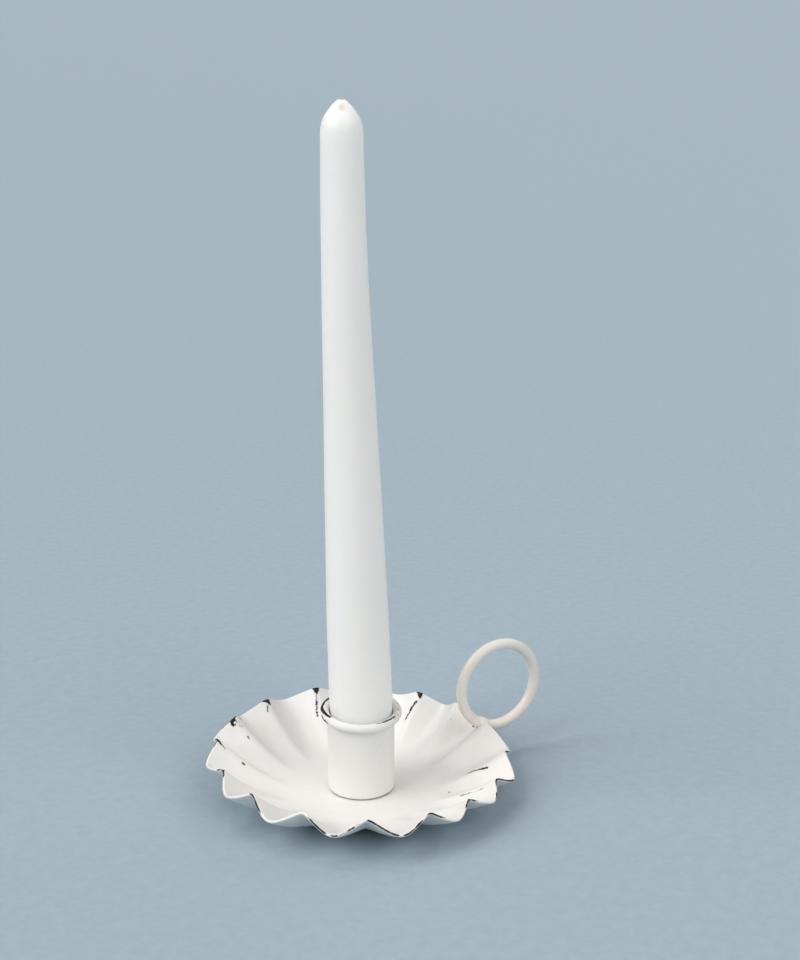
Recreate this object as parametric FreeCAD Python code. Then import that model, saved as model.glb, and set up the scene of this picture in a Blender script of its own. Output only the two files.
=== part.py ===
"""A painted sheet-iron chamberstick with its taper candle, in millimetres.

The origin is the centre of the pan's underside, +Z is up, and +X points at the finger ring.
"""

import FreeCAD, Part

import math
import os

from FreeCAD import Vector

# Pan: one pressed disc, with a flat floor and a fluted wall.
SHEET = 1.0
FLOOR_R = 27.0
RIDGE_R, RIDGE_Z = 53.8, 16.0  # underside of the wall at the rim, on a ridge
GUTTER_R, GUTTER_Z = 57.5, 11.4  # and between two ridges
RIDGE_FOOT_R, GUTTER_FOOT_R = 36.0, 40.0  # where the slope of the rim, drawn inward, meets the floor
WAVE_STRAIGHTNESS = 0.93  # 0 is a plain wave, and near 1 it has straight flanks
RIDGE_SHARPNESS = 1.25  # above 1, the ridges are narrower than the gutters
RIM_RISE_X, RIM_RISE_Y = -0.0266, 0.0280  # the rim is not quite level
# Where the rim is bent up a little, or down: (azimuth, half its width in degrees, height).
RIM_BENDS = ((17, 14, 0.6), (162, 12, 0.9), (186, 9, 0.5), (277, 9, 1.5), (296, 9, 1.5), (343.7, 12, -1.2))
# The flutes are set out by eye, so their ridges are unevenly spaced; the first is under the ring.
RIDGE_AZIMUTHS = (-2, 17, 36, 58.5, 82, 107, 127, 149, 175, 196.5, 220, 244, 268, 286.5, 306.5, 329.5)
STEPS_PER_FLUTE = 8
STEPS_UP_WALL = 8

# Dimple pressed up in the middle of the pan, which keeps the rivet's tail off the table.
DIMPLE_RISE = 1.8
DIMPLE_FOOT_R, DIMPLE_TOP_R = 8.0, 6.3

# Socket: a drawn cup with a curled lip, its floor pressed up over the dimple.
CUP_R = 12.5
CUP_WALL = 0.6
CUP_FOOT_FILLET = 1.2
CURL_R = 1.65
CURL_Z = 31.0
CURL_END_DEG = -150.0
NEST_GAP = 0.2  # between the dimple's slope and the cup's

# Rivet.
SHANK_R = 1.5
RIVET_HEAD_R, RIVET_HEAD_H = 3.2, 1.2
RIVET_TAIL_R, RIVET_TAIL_H = 2.8, 1.0

# Finger ring: round rod in the plane y = 0, cut where it meets the wall.
RING_R, ROD_R = 16.8, 2.1
RING_X, RING_Z = 60.8, 29.0
ROD_GAP = 0.2  # between the rod's ends and the wall, filled by the welds
WELD_R = 3.1

# Candle: a tapered dipped candle that leans in its socket and bends a little near the tip.
CANDLE_BASE_Z, CANDLE_TIP_Z = 5.1, 252.5
LEAN_DEG = 1.6
LEAN_PIVOT_Z = 36.0
LEAN_AZIMUTH_DEG = 150.5
BEND_START_Z, BEND_BACK = 180.0, 1.1
CANDLE_FOOT_R, CANDLE_MOUTH_R = 10.75, 11.75  # the candle's foot narrows, so that it wedges in a socket
CANDLE_MOUTH_Z = 36.0  # the candle's widest place, just above the lip
CANDLE_TAPER = 4.4  # how much the long taper takes off the radius
TIP_START_Z = 240.3
BODY_STEPS = 20
TIP_RADII = (7.35, 7.3, 7.15, 6.85, 6.35, 5.5, 4.35, 3.15, 1.3)  # at even steps from the shoulder to the top
WICK_R = 0.9
WICK_ABOVE_TIP = 0.3


def ridge_height(azimuth_deg):
    """1 on a ridge, 0 in a gutter, smooth between."""
    first = RIDGE_AZIMUTHS[0]
    azimuth = first + (azimuth_deg - first) % 360.0
    starts = list(RIDGE_AZIMUTHS) + [first + 360.0]
    for here, after in zip(starts, starts[1:]):
        if azimuth <= after:
            turn = (azimuth - here) / (after - here)
            flank = math.asin(WAVE_STRAIGHTNESS * math.cos(2 * math.pi * turn))
            return (0.5 + 0.5 * flank / math.asin(WAVE_STRAIGHTNESS)) ** RIDGE_SHARPNESS
    return 1.0


def rim_lift(azimuth_deg):
    """How far the rim is bent up."""
    lift = 0.0
    for middle, half_width, height in RIM_BENDS:
        off = abs((azimuth_deg - middle + 180) % 360 - 180) / half_width
        lift += height * math.cos(math.pi / 2 * min(off, 1)) ** 2
    return lift


def bend(start, corner, end, t):
    """A parabola from start to end, whose end slopes meet at the corner."""
    return start * (1 - t) ** 2 + corner * 2 * t * (1 - t) + end * t**2


def wall_point(azimuth_deg, t):
    """A point of the wall's underside: t is 0 at the edge of the floor and 1 at the rim."""
    share = ridge_height(azimuth_deg)
    gutter_r = bend(FLOOR_R, GUTTER_FOOT_R, GUTTER_R, t)
    ridge_r = bend(FLOOR_R, RIDGE_FOOT_R, RIDGE_R, t)
    r = gutter_r + share * (ridge_r - gutter_r)
    z = (GUTTER_Z + share * (RIDGE_Z - GUTTER_Z)) * t**2
    azimuth = math.radians(azimuth_deg)
    x, y = r * math.cos(azimuth), r * math.sin(azimuth)
    return Vector(x, y, z + (RIM_RISE_X * x + RIM_RISE_Y * y + rim_lift(azimuth_deg)) * t**2)


def wall_normal(azimuth_deg, t):
    """The unit normal of the wall's underside, pointing into the pan."""
    if t == 0:
        return Vector(0, 0, 1)
    around = wall_point(azimuth_deg + 0.05, t) - wall_point(azimuth_deg - 0.05, t)
    outward = wall_point(azimuth_deg, t) - wall_point(azimuth_deg, t - 0.001)
    return outward.cross(around).normalize()


def wall_ring(t, thickness):
    """A closed smooth curve round the wall, at a distance inside its underside."""
    count = STEPS_PER_FLUTE * len(RIDGE_AZIMUTHS)
    points = []
    for step in range(count):
        azimuth = RIDGE_AZIMUTHS[0] + 360.0 * step / count
        points.append(wall_point(azimuth, t) + wall_normal(azimuth, t) * thickness)
    curve = Part.BSplineCurve()
    curve.interpolate(Points=points, PeriodicFlag=True, Parameters=list(range(count + 1)))
    return Part.Wire(curve.toShape())


def wall_surface(thickness):
    """The wall's face at a distance inside its underside."""
    rings = [wall_ring(up / STEPS_UP_WALL, thickness) for up in range(STEPS_UP_WALL + 1)]
    return Part.makeLoft(rings, False, False).Faces[0]


def edges_by_height(face):
    """The face's two closed edges, the lower one first."""
    closed = [e for e in face.Edges if e.isClosed()]
    return sorted(closed, key=lambda e: e.BoundBox.ZMax)


def make_pan_sheet():
    """The pressed disc, before its dimple."""
    under, inside = wall_surface(0.0), wall_surface(SHEET)
    under_floor, under_rim = edges_by_height(under)
    inside_floor, inside_rim = edges_by_height(inside)
    faces = [
        under,
        inside,
        Part.Face(Part.Wire(under_floor)),
        Part.Face(Part.Wire(inside_floor)),
        Part.makeRuledSurface(under_rim, inside_rim),
    ]
    shell = Part.makeShell(faces)
    shell.sewShape()
    solid = Part.Solid(shell)
    if solid.Volume < 0:
        solid.reverse()
    return solid


def revolved(outline):
    """A solid turned round the Z axis from a closed outline of (r, z) points."""
    points = [Vector(r, 0, z) for r, z in outline]
    face = Part.Face(Part.makePolygon(points + points[:1]))
    return face.revolve(Vector(0, 0, 0), Vector(0, 0, 1), 360)


def make_dish():
    dimple = revolved([
        (0, SHEET / 2), (DIMPLE_FOOT_R, SHEET / 2), (DIMPLE_FOOT_R, SHEET),
        (DIMPLE_TOP_R, SHEET + DIMPLE_RISE), (0, SHEET + DIMPLE_RISE),
    ])
    pocket = revolved([
        (0, -1), (DIMPLE_FOOT_R - SHEET / 2, -1), (DIMPLE_FOOT_R - SHEET / 2, 0),
        (DIMPLE_TOP_R - SHEET / 2, DIMPLE_RISE), (0, DIMPLE_RISE),
    ])
    hole = Part.makeCylinder(SHANK_R, 10, Vector(0, 0, -1))
    return make_pan_sheet().fuse(dimple).cut(pocket).cut(hole)


def make_curl():
    """The lip: the wall's edge rolled outward and down."""
    centre_r = CUP_R - CUP_WALL + CURL_R
    centre = Vector(centre_r, 0, CURL_Z)
    inner_r = CURL_R - CUP_WALL

    def on_circle(radius, angle_deg):
        angle = math.radians(angle_deg)
        return Vector(centre.x + radius * math.cos(angle), 0, centre.z + radius * math.sin(angle))

    middle_deg = (180 + CURL_END_DEG) / 2
    outer = Part.Arc(on_circle(CURL_R, 180), on_circle(CURL_R, middle_deg), on_circle(CURL_R, CURL_END_DEG))
    inner = Part.Arc(on_circle(inner_r, CURL_END_DEG), on_circle(inner_r, middle_deg), on_circle(inner_r, 180))
    edge = Part.LineSegment(on_circle(CURL_R, CURL_END_DEG), on_circle(inner_r, CURL_END_DEG))
    root = Part.LineSegment(on_circle(inner_r, 180), on_circle(CURL_R, 180))
    wire = Part.Wire([piece.toShape() for piece in (outer, edge, inner, root)])
    return Part.Face(wire).revolve(Vector(0, 0, 0), Vector(0, 0, 1), 360)


def make_socket():
    seat = SHEET
    raised = seat + DIMPLE_RISE
    bore_r = CUP_R - CUP_WALL
    cup = revolved([
        (CUP_R, seat), (CUP_R, CURL_Z), (bore_r, CURL_Z), (bore_r, seat + CUP_WALL),
        (DIMPLE_FOOT_R, seat + CUP_WALL), (DIMPLE_TOP_R, raised + CUP_WALL),
        (SHANK_R, raised + CUP_WALL), (SHANK_R, raised),
        (DIMPLE_TOP_R + NEST_GAP, raised), (DIMPLE_FOOT_R + NEST_GAP, seat),
    ])
    foot = [e for e in cup.Edges if e.BoundBox.ZMax < seat + 0.01 and e.BoundBox.XMax > CUP_R - 0.01]
    return cup.makeFillet(CUP_FOOT_FILLET, foot[:1]).fuse(make_curl()).removeSplitter()


def make_rivet():
    head_z = SHEET + DIMPLE_RISE + CUP_WALL
    shank = Part.makeCylinder(SHANK_R, head_z - DIMPLE_RISE, Vector(0, 0, DIMPLE_RISE))
    dome_r = (RIVET_HEAD_R**2 + RIVET_HEAD_H**2) / (2 * RIVET_HEAD_H)
    ball = Part.makeSphere(dome_r, Vector(0, 0, head_z + RIVET_HEAD_H - dome_r))
    head = ball.common(Part.makeCylinder(RIVET_HEAD_R + 1, RIVET_HEAD_H + 1, Vector(0, 0, head_z)))
    tail = Part.makeCylinder(RIVET_TAIL_R, RIVET_TAIL_H, Vector(0, 0, DIMPLE_RISE - RIVET_TAIL_H))
    return shank.fuse([head, tail]).removeSplitter()


def wall_slab(below, above):
    """A slab along the wall at the ring, from below to above the wall's underside."""
    azimuth = RIDGE_AZIMUTHS[0]
    foot, rim = wall_point(azimuth, 0.9), wall_point(azimuth, 1.0)
    slope = math.degrees(math.atan2(rim.z - foot.z, rim.x - foot.x))
    slab = Part.makeBox(40, 40, above - below, Vector(-20, -20, below))
    slab.rotate(Vector(0, 0, 0), Vector(0, 1, 0), -slope)
    slab.translate(Vector(rim.x, 0, rim.z))
    return slab


def largest(shape):
    return max(shape.Solids, key=lambda solid: solid.Volume)


def make_ring(dish):
    ring = Part.makeTorus(RING_R, ROD_R, Vector(RING_X, 0, RING_Z), Vector(0, 1, 0))
    return largest(ring.cut(wall_slab(-ROD_GAP, SHEET + ROD_GAP)).cut(dish))


def weld_ball():
    """A ball of weld metal round the place where the rod meets the wall."""
    rim_x = wall_point(RIDGE_AZIMUTHS[0], 1.0).x
    drop = math.sqrt(RING_R**2 - (RING_X - rim_x) ** 2)
    return Part.makeSphere(WELD_R, Vector(rim_x, 0, RING_Z - drop))


def make_inner_weld(dish, ring):
    return largest(weld_ball().common(wall_slab(SHEET / 2, 20)).cut(dish).cut(ring))


def make_outer_weld(dish, ring):
    return largest(weld_ball().common(wall_slab(-20, SHEET / 2)).cut(dish).cut(ring))


def axis_point(height):
    """A point of the candle's axis at a height above the table."""
    offset = (height - LEAN_PIVOT_Z) * math.tan(math.radians(LEAN_DEG))
    if height > BEND_START_Z:
        offset -= BEND_BACK * ((height - BEND_START_Z) / (CANDLE_TIP_Z - BEND_START_Z)) ** 2
    azimuth = math.radians(LEAN_AZIMUTH_DEG)
    return Vector(offset * math.cos(azimuth), offset * math.sin(azimuth), height)


def axis_direction(height):
    return (axis_point(height + 0.1) - axis_point(height - 0.1)).normalize()


def tapered(sections):
    """A loft through circles across the candle's axis, from (height, radius) pairs."""
    wires = []
    for height, radius in sections:
        circle = Part.Circle(axis_point(height), axis_direction(height), radius)
        wires.append(Part.Wire(circle.toShape()))
    return Part.makeLoft(wires, True, False)


def candle_radius(height):
    """The candle's radius below its shoulder: a narrowed foot, then a long S-shaped taper."""
    if height < CANDLE_MOUTH_Z:
        turn = (CANDLE_MOUTH_Z - height) / (CANDLE_MOUTH_Z - CANDLE_BASE_Z)
        return CANDLE_MOUTH_R - (CANDLE_MOUTH_R - CANDLE_FOOT_R) * turn * (2 - turn)
    turn = (height - CANDLE_MOUTH_Z) / (TIP_START_Z - CANDLE_MOUTH_Z)
    return CANDLE_MOUTH_R - CANDLE_TAPER * (0.4 * turn + 0.6 * turn**2 * (3 - 2 * turn))


def even_steps(start, end, count):
    return [start + (end - start) * step / count for step in range(count + 1)]


def make_wick():
    top = CANDLE_TIP_Z + WICK_ABOVE_TIP
    return tapered([(height, WICK_R) for height in even_steps(CANDLE_BASE_Z, top, BODY_STEPS)])


def make_candle(wick):
    heights = even_steps(CANDLE_BASE_Z, TIP_START_Z, BODY_STEPS)
    body = tapered([(height, candle_radius(height)) for height in heights])
    tip_heights = even_steps(TIP_START_Z, CANDLE_TIP_Z, len(TIP_RADII) - 1)
    tip = tapered(list(zip(tip_heights, TIP_RADII)))
    return body.fuse(tip).cut(wick)


def build():
    dish = make_dish()
    ring = make_ring(dish)
    wick = make_wick()
    return {
        "dish": dish,
        "candle_socket": make_socket(),
        "socket_rivet": make_rivet(),
        "ring_handle": ring,
        "handle_weld_inner": make_inner_weld(dish, ring),
        "handle_weld_outer": make_outer_weld(dish, ring),
        "candle": make_candle(wick),
        "candle_wick": wick,
    }


os.makedirs("parts", exist_ok=True)
for name, shape in build().items():
    print(name, shape.ShapeType, len(shape.Solids), shape.isValid(), round(shape.Volume, 2), shape.BoundBox)
    shape.exportStep(f"parts/{name}.step")
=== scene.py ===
"""A painted sheet-iron chamberstick with its taper candle, in metres.

+X points from the socket to the finger ring, +Z is up, and the pan stands on z = 0.
"""

import math

import bpy
import numpy as np
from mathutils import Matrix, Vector, noise


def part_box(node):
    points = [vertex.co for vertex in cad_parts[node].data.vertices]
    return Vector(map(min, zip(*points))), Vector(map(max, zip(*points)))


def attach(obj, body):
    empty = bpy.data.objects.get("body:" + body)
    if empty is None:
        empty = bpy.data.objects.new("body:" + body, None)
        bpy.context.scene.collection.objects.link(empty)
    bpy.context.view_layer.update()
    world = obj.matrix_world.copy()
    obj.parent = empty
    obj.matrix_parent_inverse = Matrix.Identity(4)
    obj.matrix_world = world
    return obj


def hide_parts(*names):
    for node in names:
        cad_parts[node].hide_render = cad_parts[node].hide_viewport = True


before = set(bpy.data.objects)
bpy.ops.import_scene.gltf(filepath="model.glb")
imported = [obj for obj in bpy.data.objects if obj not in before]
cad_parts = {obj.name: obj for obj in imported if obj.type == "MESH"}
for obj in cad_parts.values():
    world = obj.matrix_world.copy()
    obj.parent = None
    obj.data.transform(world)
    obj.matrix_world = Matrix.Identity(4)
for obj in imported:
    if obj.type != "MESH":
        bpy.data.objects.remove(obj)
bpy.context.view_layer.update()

MM = 0.001

# Pan. The flutes are set out by eye, so their ridges are unevenly spaced; the first is under the ring.
SHEET = 1.0 * MM
FLOOR_R = 27.0 * MM
RIDGE_R, RIDGE_Z = 53.8 * MM, 16.0 * MM
GUTTER_R, GUTTER_Z = 57.5 * MM, 11.4 * MM
RIDGE_FOOT_R, GUTTER_FOOT_R = 36.0 * MM, 40.0 * MM
WAVE_STRAIGHTNESS, RIDGE_SHARPNESS = 0.93, 1.25
RIM_RISE_X, RIM_RISE_Y = -0.0266, 0.0280
# Where the rim is bent up a little, or down: (azimuth, half its width in degrees, height in mm).
RIM_BENDS = ((17, 14, 0.6), (162, 12, 0.9), (186, 9, 0.5), (277, 9, 1.5), (296, 9, 1.5), (343.7, 12, -1.2))
RIDGE_AZIMUTHS = (-2, 17, 36, 58.5, 82, 107, 127, 149, 175, 196.5, 220, 244, 268, 286.5, 306.5, 329.5)
AROUND_PAN = 50 * len(RIDGE_AZIMUTHS)
ROWS_INSIDE, ROWS_UNDER, ROWS_RIM = 76, 26, 9
# The hammered rim stands this much further out and higher than the drawn one, most at one side.
BEATEN_OUT, BEATEN_UP, BEATEN_TILT = 0.8 * MM, 0.65 * MM, 0.3 * MM
BEATEN_HIGH_AZIMUTH = 80
BEATEN_FADE = 18 * MM  # how far out from the floor's edge the handwork grows to its full size
DENTS = ((0.22 * MM, 17 * MM, 3), (0.10 * MM, 6 * MM, 8))  # (depth, size, seed)
WALL_LENGTH = 34 * MM  # about the sheet's length from the floor's edge to the rim
UNDER_WEAR_FROM = 0.97  # the share of the wall above which the rim's wear also shows underneath
MARK_EDGE = 0.38 * MM  # how softly a mark starts, before the paint's own raggedness
EDGE_WEAR_AND_SHADE_HALF = math.radians(58)  # how far round the rounded edge its wear and painted shade reach, each way

# Dimple, cup and rivet.
DIMPLE_RISE = 1.8 * MM
DIMPLE_FOOT_R, DIMPLE_TOP_R = 8.0 * MM, 6.3 * MM
CUP_R, CUP_WALL = 12.5 * MM, 0.6 * MM
CUP_FOOT_FILLET = 1.2 * MM
CURL_R, CURL_Z = 1.65 * MM, 31.0 * MM
CURL_END = math.radians(-150)
SHANK_R = 1.5 * MM
RIVET_HEAD_R, RIVET_HEAD_H = 3.2 * MM, 1.2 * MM
RIVET_TAIL_R, RIVET_TAIL_H = 2.8 * MM, 1.0 * MM
# The lip is not quite level.
LIP_HIGH_AZIMUTH, LIP_RISE, LIP_TILT = math.radians(85), 0.40 * MM, 0.95 * MM
LIP_BEND_FROM_Z = 12 * MM  # the cup's wall starts to follow the lip's bend here
LIP_DENT = (0.12 * MM, 11 * MM, 5)  # (depth, size, seed)
# the dark seam at the cup's foot, partly painted contact shadow, is darkest at this azimuth
FOOT_SEAM_AZIMUTH = math.radians(255)
AROUND_CUP, AROUND_RIVET = 288, 64
AXIS_GAP = 0.05 * MM  # the rivet's end faces close this near to its axis
DOME_STEPS = 12

# Finger ring: round rod in the plane y = 0.
RING_LOW, RING_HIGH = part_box("ring_handle")
ROD_R = (RING_HIGH.y - RING_LOW.y) / 2
RING_R = (RING_HIGH.x - RING_LOW.x) / 2 - ROD_R
RING_X, RING_Z = (RING_HIGH.x + RING_LOW.x) / 2, (RING_HIGH.z + RING_LOW.z) / 2
WELD_ACROSS, WELD_ALONG, WELD_SHIFT = 2.35 * MM, 4.2 * MM, 0.9 * MM
RING_JOINT_T = 0.98  # the share of the wall at which its direction is taken for the welds
RING_STEPS, WELD_STEPS, AROUND_ROD = 240, 24, 48

# Candle: a dipped taper that leans in its socket and bends a little near the tip.
CANDLE_BASE_Z, CANDLE_TIP_Z = 5.1 * MM, 252.5 * MM
LEAN, LEAN_PIVOT_Z, LEAN_AZIMUTH = math.radians(1.6), 36.0 * MM, math.radians(150.5)
BEND_START_Z, BEND_BACK = 180.0 * MM, 1.1 * MM
CANDLE_FOOT_R, CANDLE_MOUTH_R, CANDLE_TAPER = 10.75 * MM, 11.75 * MM, 4.4 * MM
CANDLE_MOUTH_Z, TIP_START_Z = 36.0 * MM, 240.3 * MM
TIP_RADII = (7.35, 7.3, 7.15, 6.85, 6.35, 5.5, 4.35, 3.15, 1.3)
WICK_R, WICK_ABOVE_TIP = 0.9 * MM, 0.3 * MM
WICK_STAIN = Vector((-1.9, -3.4, -0.4)) * MM  # the brown mark that the wick leaves beside the tip
CANDLE_EDGE, CANDLE_EDGE_STEP = 0.6 * MM, 0.18 * MM  # the rounding of its foot's edge
AROUND_CANDLE, CANDLE_RINGS, TIP_RINGS = 96, 150, 44
AROUND_WICK, HIDDEN_WICK_RINGS, END_WICK_RINGS = 36, 60, 40

# Where the pan's wall is darkened: mostly where the paint has rubbed through, and in the last row painted
# shadow, the dark gap under the finger ring's rod inside the pan. Each row gives the azimuth at the outer end
# and at the inner end, the share of the wall at each, the width in mm at each, and how much.
WALL_WEAR_AND_SHADE = (
    (149.0, 150.0, 1.03, 0.91, 1.4, 0.5, 0.88),
    (126.6, 129.6, 1.04, 0.955, 4.2, 0.8, 1.0),
    (129.4, 127.2, 1.03, 0.935, 1.4, 0.5, 0.92),
    (121.4, 120.8, 0.98, 0.95, 1.2, 0.8, 0.8),
    (129.0, 127.4, 0.95, 0.90, 0.8, 0.4, 0.8),
    (107.0, 106.2, 1.04, 0.945, 4.2, 0.6, 1.0),
    (107.2, 108.2, 0.94, 0.90, 0.7, 0.4, 0.7),
    (81.8, 82.2, 1.04, 0.945, 3.2, 1.0, 1.0),
    (82.2, 84.3, 0.95, 0.72, 0.8, 0.9, 0.66),
    (36.4, 35.2, 1.03, 0.94, 2.8, 0.5, 1.0),
    (36.0, 37.7, 0.90, 0.69, 0.8, 0.8, 0.8),
    (15.8, 15.9, 0.83, 0.82, 0.6, 0.5, 0.7),
    (327.8, 331.0, 0.78, 0.53, 0.7, 0.7, 0.82),
    (304.8, 305.4, 0.86, 0.56, 0.5, 0.4, 0.68),
    (318.9, 318.7, 0.26, 0.24, 0.9, 0.9, 0.9),
    (333.0, 333.6, 1.02, 0.975, 1.8, 0.8, 0.9),
    (128.4, 128.7, 0.80, 0.78, 0.8, 0.7, 0.9),
    (150.1, 150.3, 0.71, 0.69, 0.9, 0.8, 0.9),
    (174.2, 173.6, 0.68, 0.65, 0.8, 0.6, 0.85),
    (175.0, 174.4, 1.02, 0.97, 1.3, 0.6, 0.9),
    (286.5, 286.6, 1.02, 0.98, 1.0, 0.5, 0.85),
    # painted shadow: the dark gap where the finger ring's rod runs just above the wall inside the pan
    (12.4, 7.2, 0.942, 0.915, 2.2, 2.2, 0.85),
)
# Stretches of the sheet's edge that are darkened: (first azimuth, last azimuth, how much). All are worn paint
# but the last, (351, 356), which is painted shade in the gap under the finger ring's outer rod.
EDGE_WEAR_AND_SHADE = (
    (171, 178, 0.72), (196, 204, 0.85), (222, 230, 0.88), (231, 241, 0.66), (244, 255, 0.88),
    (256, 265, 0.74), (266, 272, 0.82), (283, 290, 0.70), (297, 302, 0.66), (304, 317, 0.78),
    (329, 338, 0.74), (56, 60, 0.7), (33, 39, 0.9), (78, 86, 0.95), (103, 111, 0.9),
    # the last stretch, (351, 356), is painted shade under the finger ring's outer rod
    (120, 133, 0.95), (145, 153, 0.8), (14, 19, 0.6), (351, 356, 0.8),
)
# Darkened stretches of the cup's lip: worn paint, and in the last row a broad light grey over the lip's top
# on the finger ring's side. Each row: (first azimuth, last azimuth, height angle round the curl at the first,
# at the last, half the width in degrees of the curl, how much).
LIP_WEAR = (
    (116, 152, 86, 50, 24, 1.0),
    (150, 186, 50, 84, 20, 1.0),
    (172, 181, 8, -12, 14, 0.92),
    (184, 187, 0, -8, 10, 0.8),
    (268, 278, 80, 78, 8, 0.80),
    (279, 294, 79, 75, 13, 0.92),
    (298, 303, 76, 73, 9, 0.80),
    (300, 365, 80, 55, 40, 0.34),
)


# ---------------------------------------------------------------- mesh helpers

def make_object(name, points, faces):
    mesh = bpy.data.meshes.new(name)
    mesh.from_pydata([tuple(p) for p in points], [], faces)
    mesh.validate()
    mesh.polygons.foreach_set("use_smooth", [True] * len(mesh.polygons))
    piece = bpy.data.objects.new(name, mesh)
    bpy.context.scene.collection.objects.link(piece)
    return piece


def ringed(name, rings, loop=False):
    """A mesh from closed rings of points, rings[i][j].

    loop joins the last ring to the first. Otherwise both ends are capped.
    """
    rings = np.asarray(rings)
    rows, around = rings.shape[:2]
    steps = rows if loop else rows - 1
    faces = []
    for i in range(steps):
        low, high = i * around, ((i + 1) % rows) * around
        for j in range(around):
            after = (j + 1) % around
            faces.append((low + j, low + after, high + after, high + j))
    if not loop:
        faces.append(tuple(range(around - 1, -1, -1)))
        faces.append(tuple((rows - 1) * around + j for j in range(around)))
    return make_object(name, rings.reshape(-1, 3), faces)


def face_outward(piece):
    """Turns the faces outward, by the sign of the closed mesh's volume."""
    mesh = piece.data
    volume = 0.0
    for polygon in mesh.polygons:
        corners = [mesh.vertices[i].co for i in polygon.vertices]
        for b, c in zip(corners[1:], corners[2:]):
            volume += corners[0].dot(b.cross(c))
    if volume < 0:
        mesh.flip_normals()


def rounded(corners, steps=5):
    """A path of (r, z) points from (r, z, fillet radius) corners, each rounded by an arc."""
    path = []
    for i, (r, z, fillet) in enumerate(corners):
        here = np.array([r, z])
        if fillet == 0 or i in (0, len(corners) - 1):
            path.append(here)
            continue
        back = np.array(corners[i - 1][:2]) - here
        on = np.array(corners[i + 1][:2]) - here
        back, on = back / np.linalg.norm(back), on / np.linalg.norm(on)
        half = math.acos(np.clip(back @ on, -1, 1)) / 2
        middle = (back + on) / np.linalg.norm(back + on)
        centre = here + middle * fillet / math.sin(half)
        start = here + back * fillet / math.tan(half) - centre
        end = here + on * fillet / math.tan(half) - centre
        for step in range(steps + 1):
            share = step / steps
            spoke = start * (1 - share) + end * share
            path.append(centre + spoke / np.linalg.norm(spoke) * fillet)
    return path


def divided(path, longest):
    """The path with points added, so that no step is longer than longest."""
    result = [path[0]]
    for start, end in zip(path, path[1:]):
        count = max(1, math.ceil(np.linalg.norm(np.subtract(end, start)) / longest))
        for step in range(1, count + 1):
            result.append(np.add(start, np.subtract(end, start) * step / count))
    return result


def turned(path, around):
    """Rings of points from a path of (r, z), turned round the Z axis."""
    angles = np.arange(around) * 2 * math.pi / around
    rings = []
    for r, z in path:
        rings.append(np.stack([r * np.cos(angles), r * np.sin(angles), np.full(around, z)], axis=1))
    return rings


def add_values(piece, name, values):
    """A number for each vertex, which a material can read by name."""
    layer = piece.data.attributes.new(name, "FLOAT", "POINT")
    layer.data.foreach_set("value", np.asarray(values, dtype=np.float32).ravel())


def ramp(low, high, x):
    """0 below low, 1 above high, smooth between."""
    share = np.clip((np.asarray(x, dtype=float) - low) / (high - low), 0, 1)
    return share * share * (3 - 2 * share)


def wobble(point, scale, seed):
    """Smooth noise about -1 to 1, whose features are about scale across."""
    return noise.noise(Vector(point) / scale + Vector((seed, seed * 1.7, -seed)))


# ---------------------------------------------------------------- the pan's shape

def ridge_height(azimuth):
    """1 on a ridge, 0 in a gutter, for an array of azimuths in degrees."""
    starts = np.array(RIDGE_AZIMUTHS + (RIDGE_AZIMUTHS[0] + 360,), dtype=float)
    azimuth = (np.asarray(azimuth) - starts[0]) % 360 + starts[0]
    which = np.clip(np.searchsorted(starts, azimuth, side="right") - 1, 0, len(RIDGE_AZIMUTHS) - 1)
    turn = (azimuth - starts[which]) / (starts[which + 1] - starts[which])
    flank = np.arcsin(WAVE_STRAIGHTNESS * np.cos(2 * math.pi * turn))
    return (0.5 + 0.5 * flank / math.asin(WAVE_STRAIGHTNESS)) ** RIDGE_SHARPNESS


def rim_lift(azimuth):
    """How far the rim is bent up."""
    lift = 0.0
    for middle, half_width, height in RIM_BENDS:
        off = np.abs((azimuth - middle + 180) % 360 - 180) / half_width
        lift = lift + height * MM * np.cos(math.pi / 2 * np.minimum(off, 1)) ** 2
    return lift


def bend(start, corner, end, t):
    """A curve from start to end that leans towards corner."""
    return start * (1 - t) ** 2 + corner * 2 * t * (1 - t) + end * t**2


def wall_point(azimuth, t):
    """Points of the wall's underside: t is 0 at the floor's edge and 1 at the rim."""
    share = ridge_height(azimuth)
    gutter_r = bend(FLOOR_R, GUTTER_FOOT_R, GUTTER_R, t)
    ridge_r = bend(FLOOR_R, RIDGE_FOOT_R, RIDGE_R, t)
    r = gutter_r + share * (ridge_r - gutter_r)
    x, y = r * np.cos(np.radians(azimuth)), r * np.sin(np.radians(azimuth))
    z = (GUTTER_Z + share * (RIDGE_Z - GUTTER_Z)) * t**2
    return np.stack([x, y, z + (RIM_RISE_X * x + RIM_RISE_Y * y + rim_lift(azimuth)) * t**2], axis=-1)


def wall_directions(azimuth, t):
    """Unit vectors up the wall, and out of its inside face."""
    around = wall_point(azimuth + 0.05, t) - wall_point(azimuth - 0.05, t)
    up = wall_point(azimuth, t + 0.001) - wall_point(azimuth, max(t - 0.001, 0))
    normal = np.cross(up, around)
    return tuple(v / np.linalg.norm(v, axis=-1, keepdims=True) for v in (up, normal))


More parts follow.
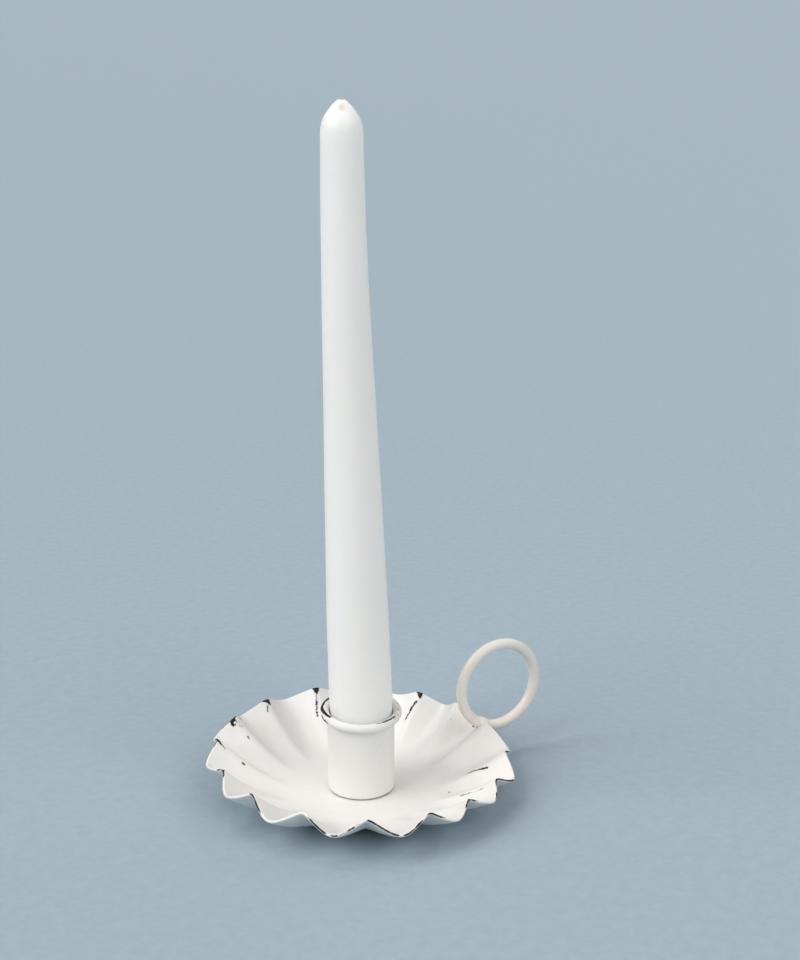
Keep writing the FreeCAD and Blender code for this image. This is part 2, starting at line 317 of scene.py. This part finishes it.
def pan_wear_and_shade(azimuth, t):
    """How dark the wall is at each point of a ring round it: rubbed-through paint, and painted shadow under
    the finger ring's rod.
    """
    r = np.linalg.norm(wall_point(azimuth, t)[:, :2], axis=1)
    wear_and_shade = np.zeros_like(azimuth)
    for outer_az, inner_az, outer_t, inner_t, outer_w, inner_w, amount in WALL_WEAR_AND_SHADE:
        share = np.clip((outer_t - t) / (outer_t - inner_t), 0, 1)
        middle = outer_az + (inner_az - outer_az) * share
        half_width = (outer_w + (inner_w - outer_w) * share) * MM / 2
        off = np.abs((azimuth - middle + 180) % 360 - 180) * math.pi / 180 * r
        beyond = max(t - outer_t, inner_t - t, 0) * WALL_LENGTH
        distance = np.hypot(off, beyond) - half_width
        soft = MARK_EDGE * (1.0 + 0.25 * (outer_w + inner_w) / 2)
        wear_and_shade = np.maximum(wear_and_shade, amount * ramp(soft, -soft, distance))
    return wear_and_shade


def edge_wear_and_shade(azimuth):
    """How dark the sheet's own edge is: rubbed-through paint, and painted shade under the finger ring's rod.
    """
    wear_and_shade = np.zeros_like(azimuth)
    for first, last, amount in EDGE_WEAR_AND_SHADE:
        inside = ramp(first - 1.5, first + 1.5, azimuth) * ramp(last + 1.5, last - 1.5, azimuth)
        wear_and_shade = np.maximum(wear_and_shade, inside * amount)
    return wear_and_shade


def make_dish():
    """The pan as one closed sheet: its underside, its rounded edge and its inside."""
    azimuth = np.arange(AROUND_PAN) * 360 / AROUND_PAN
    spin = np.radians(azimuth)
    rim_half = SHEET / 2
    rings, wear_and_shade_rows = [], []

    def add_floor(path):
        for r, z in path:
            rings.append(np.stack([r * np.cos(spin), r * np.sin(spin), np.full(AROUND_PAN, z)], axis=1))
            wear_and_shade_rows.append(np.zeros(AROUND_PAN))

    under = rounded([
        (SHANK_R, DIMPLE_RISE, 0), (DIMPLE_TOP_R - rim_half, DIMPLE_RISE, 0.7 * MM),
        (DIMPLE_FOOT_R - rim_half, 0, 0.7 * MM), (FLOOR_R, 0, 0),
    ])
    add_floor(divided(under, 2.5 * MM)[:-1])
    last_t = 1 - rim_half / WALL_LENGTH
    for t in np.linspace(0, last_t, ROWS_UNDER):
        rings.append(wall_point(azimuth, t))
        wear_and_shade_rows.append(pan_wear_and_shade(azimuth, t) * ramp(UNDER_WEAR_FROM, 1.0, t))
    edge = wall_point(azimuth, last_t)
    up, normal = wall_directions(azimuth, last_t)
    for step in range(1, ROWS_RIM + 1):
        angle = math.pi * step / (ROWS_RIM + 1)
        rise = normal * rim_half * (1 - math.cos(angle)) + up * rim_half * math.sin(angle)
        rings.append(edge + rise)
        crest = ramp(EDGE_WEAR_AND_SHADE_HALF, 0.4 * EDGE_WEAR_AND_SHADE_HALF, abs(angle - math.pi / 2))
        wear_and_shade_rows.append(np.maximum(edge_wear_and_shade(azimuth) * crest, pan_wear_and_shade(azimuth, 1.0)))
    for t in np.linspace(last_t, 0, ROWS_INSIDE):
        rings.append(wall_point(azimuth, t) + wall_directions(azimuth, max(t, 0.002))[1] * SHEET)
        wear_and_shade_rows.append(pan_wear_and_shade(azimuth, t))
    inside = rounded([
        (FLOOR_R, SHEET, 0), (DIMPLE_FOOT_R, SHEET, 0.7 * MM),
        (DIMPLE_TOP_R, SHEET + DIMPLE_RISE, 0.7 * MM), (SHANK_R, SHEET + DIMPLE_RISE, 0),
    ])
    add_floor(divided(inside, 1.5 * MM)[1:])
    dish = ringed("pan", rings, loop=True)
    add_values(dish, "wear_and_shade", wear_and_shade_rows)
    hand_beaten(dish)
    face_outward(dish)
    return dish


def hand_beaten(dish):
    """Moves the wall a little, evenly through the sheet, as handwork leaves it."""
    for vertex in dish.data.vertices:
        x, y = vertex.co.xy
        amount = float(ramp(FLOOR_R, FLOOR_R + BEATEN_FADE, math.hypot(x, y)))
        if amount > 0:
            azimuth = math.atan2(y, x)
            reach = amount**2
            towards_high = math.cos(azimuth - math.radians(BEATEN_HIGH_AZIMUTH))
            dents = sum(depth * wobble((x, y, 0), size, seed) for depth, size, seed in DENTS)
            vertex.co.x += reach * BEATEN_OUT * math.cos(azimuth)
            vertex.co.y += reach * BEATEN_OUT * math.sin(azimuth)
            vertex.co.z += reach * (BEATEN_UP + BEATEN_TILT * towards_high)
            vertex.co.z += amount * dents


# ---------------------------------------------------------------- cup, rivet, ring, welds

def make_socket():
    """The drawn cup, with its hollow curled lip and the rise in its floor over the dimple."""
    bore = CUP_R - CUP_WALL
    floor_top, raised = SHEET + CUP_WALL, SHEET + DIMPLE_RISE
    gap = 0.2 * MM
    outer = rounded([
        (SHANK_R, raised, 0), (DIMPLE_TOP_R + gap, raised, 0.5 * MM),
        (DIMPLE_FOOT_R + gap, SHEET, 0.5 * MM), (CUP_R, SHEET, CUP_FOOT_FILLET), (CUP_R, CURL_Z, 0),
    ], steps=7)
    curl_centre = np.array([bore + CURL_R, CURL_Z])
    hollow_r = CURL_R - CUP_WALL

    def curl(radius, start, end, steps):
        angles = np.linspace(start, end, steps)
        return [curl_centre + radius * np.array([math.cos(a), math.sin(a)]) for a in angles]

    inner = rounded([
        (bore, CURL_Z, 0), (bore, floor_top, 0.6 * MM), (DIMPLE_FOOT_R, floor_top, 0.5 * MM),
        (DIMPLE_TOP_R, raised + CUP_WALL, 0.5 * MM), (SHANK_R, raised + CUP_WALL, 0),
    ], steps=5)
    path = divided(outer, 1.2 * MM)[:-1]
    path += curl(hollow_r, math.pi, CURL_END, 20)
    path += curl(CURL_R, CURL_END, math.pi, 34)
    path += divided(inner, 1.2 * MM)[1:]
    rings = turned(path, AROUND_CUP)
    socket = ringed("socket_cup", rings, loop=True)
    wear_and_shade = []
    depth, size, seed = LIP_DENT
    for vertex in socket.data.vertices:
        x, y, z = vertex.co
        wear_and_shade.append(max(lip_wear(x, y, z), foot_seam_dirt_and_shade(x, y, z)))
        lip = float(ramp(LIP_BEND_FROM_Z, CURL_Z, z))
        tilt = LIP_RISE + LIP_TILT * math.cos(math.atan2(y, x) - LIP_HIGH_AZIMUTH)
        vertex.co.z += lip * (tilt + depth * wobble((x, y, 0), size, seed))
    add_values(socket, "wear_and_shade", wear_and_shade)
    face_outward(socket)
    return socket


def lip_wear(x, y, z):
    """How dark a point of the cup's lip is, from the rows of LIP_WEAR."""
    if z < CURL_Z - 2 * MM:
        return 0.0
    from_curl = math.hypot(x, y) - (CUP_R - CUP_WALL + CURL_R)
    height_angle = math.degrees(math.atan2(z - CURL_Z, from_curl))
    azimuth = math.degrees(math.atan2(y, x)) % 360
    worst = 0.0
    for first, last, first_height, last_height, half_width, amount in LIP_WEAR:
        middle = (first + last) / 2
        along = (azimuth - middle + 180) % 360 - 180
        share = along / (last - first) + 0.5
        height = first_height + (last_height - first_height) * share
        across = abs((height_angle - height + 180) % 360 - 180) / half_width
        beyond = max(abs(along) - (last - first) / 2, 0) / 3
        worst = max(worst, amount * float(ramp(1.35, 0.75, math.hypot(across, beyond))))
    return worst


def foot_seam_dirt_and_shade(x, y, z):
    """The dark seam round the cup's foot: dirt, with painted contact shadow in the crevice where the cup
    meets the pan, darkest towards FOOT_SEAM_AZIMUTH.
    """
    front = ramp(-0.1, 0.5, math.cos(math.atan2(y, x) - FOOT_SEAM_AZIMUTH))
    if math.hypot(x, y) <= CUP_R - CUP_FOOT_FILLET:
        return 0.0
    return float(ramp(SHEET + 0.62 * MM, SHEET + 0.34 * MM, z) * (0.45 + 0.5 * front))


def make_rivet():
    """The rivet that holds the cup on the pan: a domed head inside, a flattened tail below."""
    head_z = SHEET + DIMPLE_RISE + CUP_WALL
    dome_r = (RIVET_HEAD_R**2 + RIVET_HEAD_H**2) / (2 * RIVET_HEAD_H)
    dome_z = head_z + RIVET_HEAD_H - dome_r
    tail = rounded([
        (AXIS_GAP, DIMPLE_RISE - RIVET_TAIL_H, 0),
        (RIVET_TAIL_R, DIMPLE_RISE - RIVET_TAIL_H, 0.45 * MM),
        (RIVET_TAIL_R, DIMPLE_RISE, 0.1 * MM), (SHANK_R, DIMPLE_RISE, 0), (SHANK_R, head_z, 0),
        (RIVET_HEAD_R, head_z, 0),
    ])
    path = divided(tail, 0.5 * MM)
    for step in range(1, DOME_STEPS + 1):
        r = RIVET_HEAD_R * (1 - step / DOME_STEPS) + AXIS_GAP * step / DOME_STEPS
        path.append(np.array([r, dome_z + math.sqrt(dome_r**2 - r**2)]))
    rivet = ringed("rivet", turned(path, AROUND_RIVET))
    for vertex in rivet.data.vertices:
        if vertex.co.z < DIMPLE_RISE:
            vertex.co.z += 0.08 * MM * wobble(vertex.co, 1.6 * MM, 2)
    add_values(rivet, "wear_and_shade", [0.0] * len(rivet.data.vertices))
    face_outward(rivet)
    return rivet


def ring_joint():
    """Where the rod's centreline meets the wall: the angle round the ring, the point, and out of the wall."""
    azimuth = np.array([float(RIDGE_AZIMUTHS[0])])
    rim = wall_point(azimuth, 1.0)[0]
    angle = -math.pi / 2 - math.asin((RING_X - rim[0]) / RING_R)
    point = Vector((RING_X + RING_R * math.cos(angle), 0, RING_Z + RING_R * math.sin(angle)))
    normal = wall_directions(azimuth, RING_JOINT_T)[1][0]
    return angle, point, normal


def ring_point(angle, around, radius):
    """A point of the rod's surface: angle is round the ring, around is round the rod."""
    spoke = Vector((math.cos(angle), 0, math.sin(angle)))
    centre = Vector((RING_X, 0, RING_Z)) + spoke * RING_R
    return centre + (spoke * math.cos(around) + Vector((0, 1, 0)) * math.sin(around)) * radius


def make_ring():
    """The finger ring, from one face of the wall round to the other."""
    joint_angle = ring_joint()[0]
    gap = SHEET / 2 / RING_R
    start, end = joint_angle + gap, joint_angle + 2 * math.pi - gap
    rings = []
    for step in range(RING_STEPS + 1):
        angle = start + (end - start) * step / RING_STEPS
        radius = ROD_R * (0.985 + 0.012 * wobble((math.cos(angle), math.sin(angle), 0), 0.22, 4))
        rings.append([ring_point(angle, 2 * math.pi * k / AROUND_ROD, radius) for k in range(AROUND_ROD)])
    ring = ringed("finger_ring", rings)
    add_values(ring, "wear_and_shade", [0.0] * len(ring.data.vertices))
    face_outward(ring)
    return ring


def make_weld(name, side):
    """Weld metal drawn out along the rod, under paint: side is 1 inside the pan, -1 outside."""
    angle, joint, normal = ring_joint()
    along = Vector((math.sin(angle), 0, -math.cos(angle)))
    out = Vector((math.cos(angle), 0, math.sin(angle)))
    centre = joint + Vector(normal) * side * WELD_SHIFT
    rings = []
    for i in range(1, WELD_STEPS):
        polar = math.pi * i / WELD_STEPS
        wide = math.sin(polar)
        ring = []
        for k in range(AROUND_ROD):
            turn = 2 * math.pi * k / AROUND_ROD
            spoke = Vector((math.cos(turn) * wide, math.sin(turn) * wide, math.cos(polar)))
            size = 1 + 0.08 * wobble(spoke, 0.8, 9 + side)
            across = Vector((0, 1, 0)) * spoke.y * WELD_ACROSS * 1.1
            reach = out * spoke.x * WELD_ACROSS + across + along * spoke.z * WELD_ALONG
            ring.append(centre + reach * size)
        rings.append(ring)
    weld = ringed(name, rings)
    add_values(weld, "wear_and_shade", [0.0] * len(weld.data.vertices))
    face_outward(weld)
    return weld


# ---------------------------------------------------------------- candle and wick

def axis_point(height):
    """Where the candle's leaning, slightly bent axis is at a height."""
    offset = (height - LEAN_PIVOT_Z) * math.tan(LEAN)
    if height > BEND_START_Z:
        offset -= BEND_BACK * ((height - BEND_START_Z) / (CANDLE_TIP_Z - BEND_START_Z)) ** 2
    return Vector((offset * math.cos(LEAN_AZIMUTH), offset * math.sin(LEAN_AZIMUTH), height))


def candle_radius(height):
    """The radius at a height: of the blunt tip, of the foot inside the cup, or of the taper between."""
    if height > TIP_START_Z:
        place = (height - TIP_START_Z) / (CANDLE_TIP_Z - TIP_START_Z) * (len(TIP_RADII) - 1)
        return float(np.interp(place, range(len(TIP_RADII)), TIP_RADII)) * MM
    if height < CANDLE_MOUTH_Z:
        turn = (CANDLE_MOUTH_Z - height) / (CANDLE_MOUTH_Z - CANDLE_BASE_Z)
        return CANDLE_MOUTH_R - (CANDLE_MOUTH_R - CANDLE_FOOT_R) * turn * (2 - turn)
    turn = (height - CANDLE_MOUTH_Z) / (TIP_START_Z - CANDLE_MOUTH_Z)
    return CANDLE_MOUTH_R - CANDLE_TAPER * (0.4 * turn + 0.6 * turn**2 * (3 - 2 * turn))


def across_axis(height, radius, around):
    """A ring of points across the candle's axis. radius is a number, or a function of the angle."""
    centre = axis_point(height)
    along = (axis_point(height + MM) - axis_point(height - MM)).normalized()
    side = along.cross(Vector((0, 1, 0))).normalized()
    other = along.cross(side)
    ring = []
    for k in range(around):
        a = 2 * math.pi * k / around
        r = radius(a) if callable(radius) else radius
        ring.append(centre + (side * math.cos(a) + other * math.sin(a)) * r)
    return ring


def smoothed_radius(height):
    """The candle's radius, averaged over a short stretch of it, except at the very tip."""
    if height >= CANDLE_TIP_Z - MM:
        return candle_radius(height)
    return sum(candle_radius(height + step * MM) for step in (-0.9, -0.45, 0, 0.45, 0.9)) / 5


def make_candle():
    """The dipped taper, a little uneven above the socket."""
    heights = list(np.linspace(CANDLE_BASE_Z + CANDLE_EDGE, TIP_START_Z - 2 * MM, CANDLE_RINGS))
    heights += list(np.linspace(TIP_START_Z - 1.5 * MM, CANDLE_TIP_Z, TIP_RINGS))
    rings = [across_axis(CANDLE_BASE_Z, CANDLE_FOOT_R - CANDLE_EDGE, AROUND_CANDLE)]
    edge_z = CANDLE_BASE_Z + CANDLE_EDGE_STEP
    rings.append(across_axis(edge_z, CANDLE_FOOT_R - CANDLE_EDGE_STEP, AROUND_CANDLE))
    for height in heights:
        base = smoothed_radius(height)
        loose = float(ramp(40 * MM, 60 * MM, height))

        def radius(a, height=height, base=base, loose=loose):
            place = (math.cos(a) * 12 * MM, math.sin(a) * 12 * MM, height * 0.35)
            return base * (1 + 0.008 * loose * wobble(place, 10 * MM, 6))

        rings.append(across_axis(height, radius, AROUND_CANDLE))
    candle = ringed("taper", rings)
    face_outward(candle)
    return candle


def make_wick():
    """A plaited wick: a twisted three-lobed cord."""
    top = CANDLE_TIP_Z + WICK_ABOVE_TIP
    heights = list(np.linspace(CANDLE_BASE_Z + MM, CANDLE_TIP_Z - 6 * MM, HIDDEN_WICK_RINGS))
    heights += list(np.linspace(CANDLE_TIP_Z - 5.8 * MM, top, END_WICK_RINGS))
    rings = []
    for height in heights:
        close = 1 - 0.45 * float(ramp(top - 0.5 * MM, top, height))
        twist = height / (2.4 * MM)

        def lobes(a, close=close, twist=twist):
            return WICK_R * close * (0.88 + 0.12 * math.cos(3 * (a - twist)))

        rings.append(across_axis(height, lobes, AROUND_WICK))
    wick = ringed("plaited_wick", rings)
    face_outward(wick)
    return wick


# ---------------------------------------------------------------- materials

class Nodes:
    """A short way to build a material's node tree."""

    def __init__(self, name):
        self.material = bpy.data.materials.new(name)
        self.material.use_nodes = True
        self.tree = self.material.node_tree
        self.shader = self.tree.nodes["Principled BSDF"]
        self.place = self.new("ShaderNodeTexCoord").outputs["Object"]

    def new(self, kind, **values):
        node = self.tree.nodes.new(kind)
        for key, value in values.items():
            setattr(node, key, value)
        return node

    def link(self, output, socket):
        self.tree.links.new(output, socket)

    def noise(self, scale, detail=3.0, roughness=0.5, vector=None):
        node = self.new("ShaderNodeTexNoise")
        node.inputs["Scale"].default_value = scale
        node.inputs["Detail"].default_value = detail
        node.inputs["Roughness"].default_value = roughness
        self.link(self.place if vector is None else vector, node.inputs["Vector"])
        return node.outputs["Fac"]

    def stretched(self, x, y, z):
        node = self.new("ShaderNodeMapping")
        node.inputs["Scale"].default_value = (x, y, z)
        self.link(self.place, node.inputs["Vector"])
        return node.outputs["Vector"]

    def math(self, operation, a, b):
        node = self.new("ShaderNodeMath", operation=operation)
        for socket, value in zip(node.inputs, (a, b)):
            if isinstance(value, (int, float)):
                socket.default_value = value
            else:
                self.link(value, socket)
        return node.outputs[0]

    def between(self, value, low, high, out_low=0.0, out_high=1.0):
        node = self.new("ShaderNodeMapRange", interpolation_type="SMOOTHSTEP")
        self.link(value, node.inputs["Value"])
        settings = zip(("From Min", "From Max", "To Min", "To Max"), (low, high, out_low, out_high))
        for key, number in settings:
            node.inputs[key].default_value = number
        return node.outputs["Result"]

    def colours(self, share, a, b):
        """Colour a where share is 0, b where it is 1; each is a colour or an output."""
        node = self.new("ShaderNodeMix", data_type="RGBA")
        self.link(share, node.inputs["Factor"])
        for socket, value in zip((node.inputs[6], node.inputs[7]), (a, b)):
            if isinstance(value, tuple):
                socket.default_value = (*value, 1)
            else:
                self.link(value, socket)
        return node.outputs[2]

    def bump(self, height, distance, strength, below=None):
        node = self.new("ShaderNodeBump")
        node.inputs["Distance"].default_value = distance
        node.inputs["Strength"].default_value = strength
        self.link(height, node.inputs["Height"])
        if below is not None:
            self.link(below, node.inputs["Normal"])
        return node.outputs["Normal"]

    def value_of(self, name):
        node = self.new("ShaderNodeAttribute", attribute_name=name)
        return node.outputs["Fac"]


def painted_iron(name, paint, warm, gloss=0.45):
    """Brushed white paint over dark iron. The iron shows where the mesh's wear-and-shade value says; there
    its dark colour and the rubbed grey also stand for painted shade, in the gaps by the finger ring and at
    the cup's foot.
    """
    n = Nodes(name)
    fine = n.math("MULTIPLY", n.math("SUBTRACT", n.noise(1300, 5, 0.65), 0.5), 1.3)
    broad = n.math("MULTIPLY", n.math("SUBTRACT", n.noise(420, 2), 0.5), 0.9)
    darkening = n.math("ADD", n.value_of("wear_and_shade"), n.math("ADD", fine, broad))
    bare_and_shaded = n.between(darkening, 0.50, 0.60)
    thin_and_shaded = n.between(darkening, 0.28, 0.52)
    coat = n.colours(n.between(n.noise(48, 3), 0.35, 0.68), paint, warm)
    streaks = n.between(n.noise(260, 3, 0.5, n.stretched(1, 1, 0.35)), 0.35, 0.75)
    coat = n.colours(n.math("MULTIPLY", streaks, 0.25), coat, tuple(0.93 * value for value in warm))
    # where the value marks painted shade, this grey and the iron colour below are painted shade, not worn
    # paint
    rubbed = n.colours(n.math("MULTIPLY", thin_and_shaded, 0.55), coat, (0.38, 0.35, 0.31))
    mottle = n.between(n.noise(700, 4, 0.65), 0.4, 0.65)
    iron = n.colours(mottle, (0.010, 0.010, 0.014), (0.045, 0.038, 0.036))
    n.link(n.colours(bare_and_shaded, rubbed, iron), n.shader.inputs["Base Color"])
    sheen = n.between(n.noise(90, 3), 0.3, 0.7, gloss - 0.06, gloss + 0.06)
    n.link(n.math("ADD", sheen, n.math("MULTIPLY", bare_and_shaded, 0.12)), n.shader.inputs["Roughness"])
    n.link(n.math("MULTIPLY", bare_and_shaded, 0.55), n.shader.inputs["Metallic"])
    brushed = n.bump(n.noise(420, 3, 0.5), 0.00012, 0.30)
    pitted = n.bump(n.noise(2600, 2, 0.5), 0.00003, 0.25, brushed)
    n.link(n.bump(n.math("MULTIPLY", bare_and_shaded, -1.0), 0.00012, 0.9, pitted), n.shader.inputs["Normal"])
    n.shader.inputs["Specular IOR Level"].default_value = 0.45
    return n.material


def candle_wax():
    """White wax that light enters, with a faint stain beside the wick."""
    n = Nodes("candle_wax")
    drift = n.between(n.noise(34, 3, vector=n.stretched(1, 1, 0.25)), 0.3, 0.7)
    wax = n.colours(drift, (0.925, 0.895, 0.87), (0.945, 0.925, 0.905))
    from_wick = n.new("ShaderNodeVectorMath", operation="DISTANCE")
    n.link(n.place, from_wick.inputs[0])
    from_wick.inputs[1].default_value = axis_point(CANDLE_TIP_Z - 1.6 * MM) + WICK_STAIN
    uneven = n.math("MULTIPLY", n.math("SUBTRACT", n.noise(900, 3), 0.5), 1.0 * MM)
    stain = n.between(n.math("ADD", from_wick.outputs["Value"], uneven), 2.6 * MM, 0.2 * MM)
    wax = n.colours(n.math("MULTIPLY", stain, 0.50), wax, (0.46, 0.38, 0.29))
    n.link(wax, n.shader.inputs["Base Color"])
    n.link(n.between(n.noise(160, 3), 0.3, 0.7, 0.30, 0.42), n.shader.inputs["Roughness"])
    dips = n.bump(n.noise(60, 2, vector=n.stretched(1, 1, 0.3)), 0.0006, 0.20)
    n.link(n.bump(n.noise(900, 3), 0.00004, 0.25, dips), n.shader.inputs["Normal"])
    n.shader.inputs["Subsurface Weight"].default_value = 0.85
    n.shader.inputs["Subsurface Radius"].default_value = (1.0, 0.75, 0.6)
    n.shader.inputs["Subsurface Scale"].default_value = 0.008
    n.shader.inputs["IOR"].default_value = 1.44
    return n.material


def wick_cotton():
    n = Nodes("wick_cotton")
    fibre = n.between(n.noise(2600, 4, 0.6, n.stretched(1, 1, 0.3)), 0.3, 0.7)
    n.link(n.colours(fibre, (0.34, 0.26, 0.19), (0.60, 0.51, 0.41)), n.shader.inputs["Base Color"])
    n.link(n.bump(fibre, 0.0001, 0.6), n.shader.inputs["Normal"])
    n.shader.inputs["Roughness"].default_value = 0.85
    return n.material


def floor_paper():
    n = Nodes("floor_paper")
    tooth = n.noise(240, 4, 0.6)
    lighter = tuple(1.07 * value for value in FLOOR_COLOUR)
    n.link(n.colours(n.between(tooth, 0.3, 0.7), FLOOR_COLOUR, lighter), n.shader.inputs["Base Color"])
    n.link(n.bump(tooth, 0.0002, 0.15), n.shader.inputs["Normal"])
    n.shader.inputs["Roughness"].default_value = 0.9
    n.shader.inputs["Specular IOR Level"].default_value = 0.2
    return n.material


# ---------------------------------------------------------------- stage

CAMERA_PLACE = Vector((-0.2462, -0.4654, 0.2751))
CAMERA_LOOK = Vector((0.4720, 0.8356, -0.2810))
CAMERA_LENS, FILM = 57.83, 36.0  # the film's size is along the picture's long side
FLOOR_RINGS = (0.05, 0.2, 0.6, 2.0, 6.0, 10.0, 15.0, 20.0, 25.0, 30.0, 35.0, 40.0)
FLOOR_LEVEL_R, FLOOR_RISE = 2.0, 3.0
AROUND_FLOOR = 64
FLOOR_COLOUR = (0.325, 0.405, 0.468)
WALL_COLOUR, CEILING_COLOUR = (0.10, 0.107, 0.115), (0.23, 0.23, 0.23)
# Each light: its name, the side it comes from as (right, away, up) in the camera's view, its spread in
# degrees, its strength and its colour.
SOFTBOXES = (
    ("key", (-0.70, -0.36, 0.64), 50, 0.66, (1.0, 0.985, 0.965)),
    ("side", (0.60, -0.56, 0.60), 50, 0.40, (1.0, 0.98, 0.955)),
    ("high", (-0.30, 0.20, 1.0), 35, 0.18, (1.0, 0.985, 0.965)),
    ("back", (0.60, 0.80, 0.90), 50, 0.13, (1.0, 0.985, 0.965)),
)


def add_camera():
    data = bpy.data.cameras.new("camera")
    data.lens, data.sensor_width = CAMERA_LENS, FILM
    data.clip_start, data.clip_end = 0.02, 100
    camera = bpy.data.objects.new("camera", data)
    camera.location = CAMERA_PLACE
    camera.rotation_mode = "QUATERNION"
    camera.rotation_quaternion = CAMERA_LOOK.to_track_quat("-Z", "Y")
    bpy.context.scene.collection.objects.link(camera)
    bpy.context.scene.camera = camera


def from_camera(right, away, height):
    """A place given across and along the camera's view, from the middle of the pan."""
    ahead = Vector((CAMERA_LOOK.x, CAMERA_LOOK.y, 0)).normalized()
    across = ahead.cross(Vector((0, 0, 1)))
    return across * right + ahead * away + Vector((0, 0, height))


def add_softbox(name, towards, spread, strength, colour):
    """A far, wide, soft light."""
    data = bpy.data.lights.new(name, "SUN")
    data.angle, data.energy, data.color = math.radians(spread), strength * math.pi, colour
    lamp = bpy.data.objects.new(name, data)
    lamp.location = from_camera(*towards)
    lamp.rotation_mode = "QUATERNION"
    lamp.rotation_quaternion = (-lamp.location).to_track_quat("-Z", "Y")
    bpy.context.scene.collection.objects.link(lamp)


def add_floor():
    """A level floor, which rises very gently a long way off, and fills the camera's whole view."""
    rings = []
    for r in FLOOR_RINGS:
        rise = FLOOR_RISE * max(0.0, (r - FLOOR_LEVEL_R) / (FLOOR_RINGS[-1] - FLOOR_LEVEL_R)) ** 2
        rings.append([Vector((r * math.cos(a), r * math.sin(a), rise))
                      for a in np.linspace(0, 2 * math.pi, AROUND_FLOOR, endpoint=False)])
    faces = [tuple(range(AROUND_FLOOR))]
    for i in range(len(rings) - 1):
        inner, outer = i * AROUND_FLOOR, (i + 1) * AROUND_FLOOR
        for j in range(AROUND_FLOOR):
            after = (j + 1) % AROUND_FLOOR
            faces.append((inner + j, outer + j, outer + after, inner + after))
    floor = make_object("floor", [p for ring in rings for p in ring], faces)
    floor.data.materials.append(floor_paper())


def add_studio():
    """A dim room, lighter above, and four soft lights."""
    world = bpy.data.worlds.new("studio")
    world.use_nodes = True
    tree = world.node_tree
    direction = tree.nodes.new("ShaderNodeTexCoord").outputs["Generated"]
    split = tree.nodes.new("ShaderNodeSeparateXYZ")
    tree.links.new(direction, split.inputs[0])
    climb = tree.nodes.new("ShaderNodeMapRange")
    climb.interpolation_type = "SMOOTHSTEP"
    climb.inputs["From Min"].default_value, climb.inputs["From Max"].default_value = 0.06, 0.45
    tree.links.new(split.outputs["Z"], climb.inputs["Value"])
    shade = tree.nodes.new("ShaderNodeMix")
    shade.data_type = "RGBA"
    tree.links.new(climb.outputs["Result"], shade.inputs["Factor"])
    shade.inputs[6].default_value, shade.inputs[7].default_value = (*WALL_COLOUR, 1), (*CEILING_COLOUR, 1)
    tree.links.new(shade.outputs[2], tree.nodes["Background"].inputs["Color"])
    bpy.context.scene.world = world
    for softbox in SOFTBOXES:
        add_softbox(*softbox)
    bpy.context.scene.view_settings.view_transform = "Standard"


# ---------------------------------------------------------------- assembly

def place(piece, node, body, slot, material):
    """Gives a piece its material and its body, and hides the CAD node that it replaces. slot is not used."""
    piece.data.materials.clear()
    piece.data.materials.append(material)
    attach(piece, body)
    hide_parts(node)


add_camera()
add_floor()
add_studio()
white_paint = painted_iron("white_paint", (0.81, 0.80, 0.785), (0.79, 0.78, 0.76))
cup_paint = painted_iron("cup_paint", (0.80, 0.795, 0.775), (0.79, 0.775, 0.74))
cream_paint = painted_iron("cream_paint", (0.83, 0.79, 0.74), (0.80, 0.75, 0.68), 0.25)
wax = candle_wax()
place(make_dish(), "dish", "holder", "painted_sheet", white_paint)
place(make_socket(), "candle_socket", "holder", "painted_sheet", cup_paint)
place(make_rivet(), "socket_rivet", "holder", "painted_sheet", cup_paint)
place(make_ring(), "ring_handle", "holder", "painted_rod", cream_paint)
place(make_weld("weld_inside", 1), "handle_weld_inner", "holder", "painted_rod", cream_paint)
place(make_weld("weld_outside", -1), "handle_weld_outer", "holder", "painted_rod", cream_paint)
place(make_candle(), "candle", "taper", "wax", wax)
place(make_wick(), "candle_wick", "taper", "wick", wick_cotton())

bpy.context.view_layer.update()
